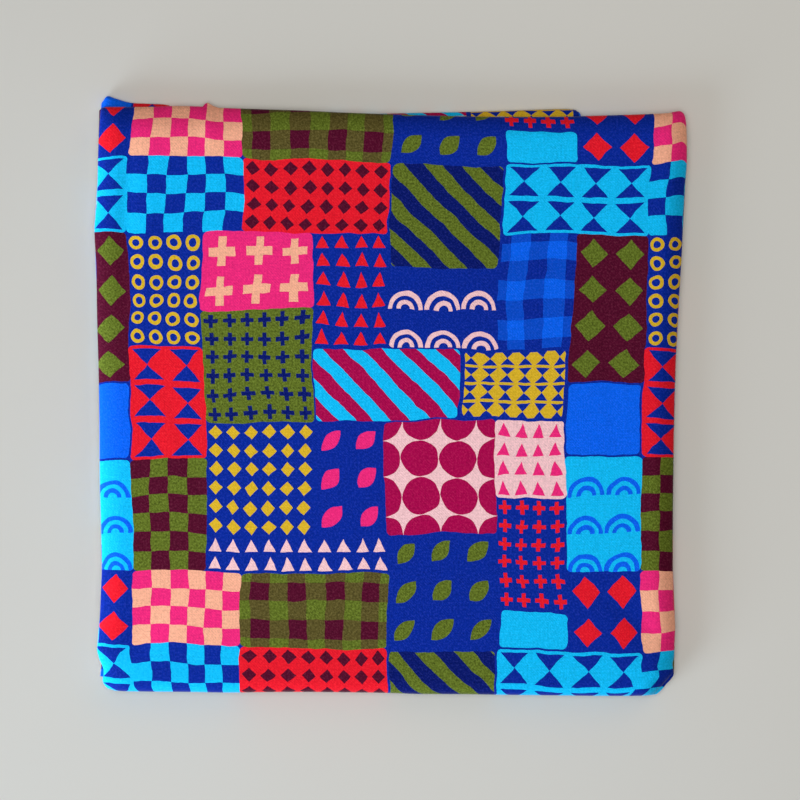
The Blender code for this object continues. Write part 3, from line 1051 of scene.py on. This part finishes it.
def cotton_finish():
    """Make the printed cotton: its print, its bare places, its yarns and their bump."""
    material = bpy.data.materials.new("printed_cotton_finish")
    nodes = Nodes(material)
    across, up, _ = nodes.split(nodes.add("ShaderNodeUVMap", {"uv_map": "cloth"}))
    x, y = across * (1 / MM), up * (1 / MM)
    bare = nodes.add("ShaderNodeAttribute", {"attribute_name": "bare"}, output=2)
    colour = nodes.mix(bare, print_colour(nodes, x, y), BARE_COTTON)

    warp = nodes.noise(nodes.join(x * YARN_ACROSS, y * YARN_ALONG), 1.0)
    weft = nodes.noise(nodes.join(x * YARN_ALONG, y * YARN_ACROSS), 1.0)
    fuzz = nodes.noise(nodes.join(x, y), 1.0, roughness=FUZZ_ROUGHNESS)
    twill = twill_lines(nodes, x, y)
    yarns = (warp + weft - 1.0) * YARN_SHADE + twill * TWILL_SHADE
    shade = 1.0 + yarns + (fuzz - 0.5) * speckle(nodes, colour)
    shaded = nodes.add("ShaderNodeVectorMath", {"operation": "SCALE"}, {0: colour, "Scale": shade})
    undyed = nodes.math("MAXIMUM", fuzz + twill * UNDYED_ON_TWILL - 0.5, 0.0) * UNDYED_SHARE
    height = (warp + weft) * YARN_RISE + fuzz * FUZZ_RISE + twill * TWILL_RISE
    bump = nodes.add("ShaderNodeBump", inputs={"Strength": BUMP_STRENGTH, "Distance": BUMP_DEPTH,
                                               "Height": height})
    nodes.feed(nodes.shader, "Base Color", nodes.mix(undyed, shaded, BARE_COTTON))
    nodes.feed(nodes.shader, "Roughness", ROUGHNESS + (fuzz - 0.5) * ROUGHNESS_SWING)
    nodes.feed(nodes.shader, "Normal", bump)
    nodes.shader.inputs["Specular IOR Level"].default_value = SPECULAR
    nodes.shader.inputs["Sheen Weight"].default_value = SHEEN
    nodes.shader.inputs["Sheen Roughness"].default_value = SHEEN_ROUGHNESS
    return material


def rest_in_place(points):
    """Bring the cloth over the solid that it replaces, and down to the surface."""
    points[:, :2] -= PACKET_MIDDLE
    points[:, 2] -= points[:, 2].min()


def folded_cloth():
    plies, band = ply_course(), band_course()
    wide_cuts, long_cuts = plies.stations(ply_steps), band.stations(layer_steps)
    mesh = flat_cloth(wide_cuts, long_cuts)
    map_cloth(mesh, plies, band, wide_cuts, long_cuts)
    points = fold_points(plies, band, mesh_numbers(mesh.vertices, "co", 3))
    rest_in_place(points)
    mesh.vertices.foreach_set("co", points.astype(np.float32).ravel())
    mesh.update()
    mesh.shade_smooth()
    mesh.set_sharp_from_angle(angle=SHARP_FROM)
    mesh.materials.append(cotton_finish())
    cloth = bpy.data.objects.new("folded_cloth_sheet", mesh)
    bpy.context.collection.objects.link(cloth)
    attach(cloth, "root")
    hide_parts("folded_cloth")
    return cloth


FLOOR_COLOUR = srgb(226, 224, 218)
FLOOR_SIZE = 12.0
FLOOR_CELLS = 8
FLOOR_ROUGHNESS = 0.8
FLOOR_CLOUDS, FLOOR_CLOUD_SHADE = 3.0, 0.06     # clouds a metre, and how much they shade

# The photo's frame: the width and middle of what it shows, at a level inside the packet.
CAMERA_HEIGHT = 1.15
PHOTO_WIDTH = 386.4 * MM
PHOTO_CENTRE = (4.1 * MM, -1.7 * MM)
PHOTO_LEVEL = 10.0 * MM
SENSOR_WIDTH = 36.0

# The raking lamp shapes the cloth alone, so that the floor keeps its even light.
Lamp = namedtuple("Lamp", "place size watts colour on_floor")
LAMPS = {
    "overhead": Lamp((-0.05, -0.05, 1.35), 0.7, 8.0, (1.0, 0.985, 0.96), True),
    "window_side": Lamp((-0.95, -0.90, 0.42), 0.7, 12.0, (0.74, 0.87, 1.0), True),
    "raking": Lamp((-1.25, -0.45, 0.36), 0.6, 26.0, (0.80, 0.90, 1.0), False),
    "room_side": Lamp((0.90, 0.90, 0.85), 0.9, 2.5, (1.0, 0.84, 0.60), True),
}
SKY_COLOUR = (0.98, 0.99, 1.0, 1.0)
SKY_STRENGTH = 0.17


def plain_floor():
    """Make the plain pale floor under the packet."""
    sheet = bmesh.new()
    bmesh.ops.create_grid(sheet, x_segments=FLOOR_CELLS, y_segments=FLOOR_CELLS,
                          size=FLOOR_SIZE / 2)
    mesh = bpy.data.meshes.new("floor")
    sheet.to_mesh(mesh)
    sheet.free()
    material = bpy.data.materials.new("floor_finish")
    nodes = Nodes(material)
    place = nodes.add("ShaderNodeTexCoord", output=3)
    shade = 1.0 + (nodes.noise(place, FLOOR_CLOUDS) - 0.5) * FLOOR_CLOUD_SHADE
    colour = nodes.add("ShaderNodeVectorMath", {"operation": "SCALE"},
                       {0: FLOOR_COLOUR[:3], "Scale": shade})
    nodes.feed(nodes.shader, "Base Color", colour)
    nodes.shader.inputs["Roughness"].default_value = FLOOR_ROUGHNESS
    mesh.materials.append(material)
    floor = bpy.data.objects.new("floor", mesh)
    bpy.context.collection.objects.link(floor)


def soft_lights(cloth):
    """Set the soft lamps round the packet and the even light of the room."""
    lit_cloth = bpy.data.collections.new("lit_cloth")
    lit_cloth.objects.link(cloth)
    for name, lamp in LAMPS.items():
        data = bpy.data.lights.new(name, "AREA")
        data.size = lamp.size
        data.energy = lamp.watts
        data.color = lamp.colour
        light = bpy.data.objects.new(name, data)
        light.location = lamp.place
        light.rotation_mode = "QUATERNION"
        light.rotation_quaternion = Vector(lamp.place).to_track_quat("Z", "Y")
        if not lamp.on_floor:
            light.light_linking.receiver_collection = lit_cloth
        bpy.context.collection.objects.link(light)
    world = bpy.data.worlds.new("room_light")
    world.use_nodes = True
    background = world.node_tree.nodes["Background"]
    background.inputs["Color"].default_value = SKY_COLOUR
    background.inputs["Strength"].default_value = SKY_STRENGTH
    bpy.context.scene.world = world


def photo_camera():
    """Set the camera straight above, framed as the photo is."""
    data = bpy.data.cameras.new("above")
    data.sensor_width = SENSOR_WIDTH
    data.lens = SENSOR_WIDTH * (CAMERA_HEIGHT - PHOTO_LEVEL) / PHOTO_WIDTH
    camera = bpy.data.objects.new("above", data)
    camera.location = (*PHOTO_CENTRE, CAMERA_HEIGHT)
    bpy.context.collection.objects.link(camera)
    bpy.context.scene.camera = camera


bpy.context.scene.view_settings.view_transform = "Standard"
cloth = folded_cloth()
plain_floor()
soft_lights(cloth)
photo_camera()
